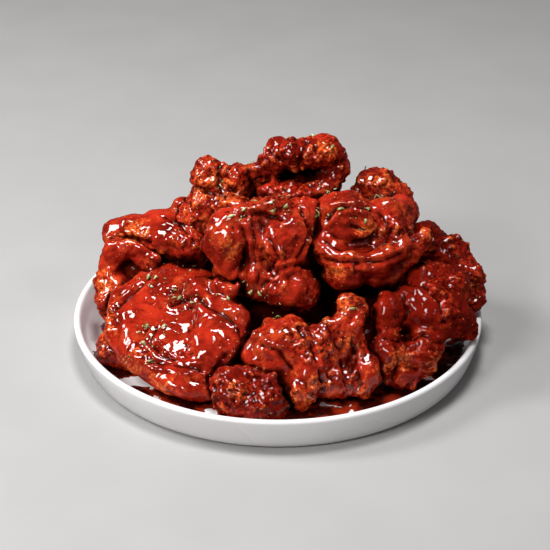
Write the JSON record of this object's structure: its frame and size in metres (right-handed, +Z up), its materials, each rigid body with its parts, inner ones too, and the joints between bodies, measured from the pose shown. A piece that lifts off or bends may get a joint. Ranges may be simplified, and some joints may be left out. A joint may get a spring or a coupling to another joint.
{
  "type": "chicken wings serving",
  "caption": "Saucy fried chicken wing pieces heaped on a round white plate with a low upright rim.",
  "frame": {"origin": "centre of the plate's flat underside", "axes": "+Z up out of the plate, -Y towards the side of the serving seen first, +X to the right as seen from there"},
  "size_m": [0.2437, 0.24, 0.1226],
  "materials": {
    "plate_white": "glazed white ceramic, smooth",
    "glazed_chicken": "fried crust under a wet red glaze"
  },
  "bodies": {
    "root": {"plate": "plate_white", "core_low": "glazed_chicken", "core_right": "glazed_chicken", "back_left_low": "glazed_chicken", "back_right_low": "glazed_chicken", "back_centre_low": "glazed_chicken", "nub_left": "glazed_chicken", "nugget_front": "glazed_chicken", "left_curl": "glazed_chicken", "right_back": "glazed_chicken", "front_centre": "glazed_chicken", "front_right": "glazed_chicken", "front_left": "glazed_chicken", "back_mid_left": "glazed_chicken", "back_mid_right": "glazed_chicken", "centre_drape": "glazed_chicken", "left_drumette": "glazed_chicken", "upper_left": "glazed_chicken", "right_swirl": "glazed_chicken", "back_upper": "glazed_chicken", "right_knob": "glazed_chicken", "top": "glazed_chicken"}
  },
  "joints": []
}
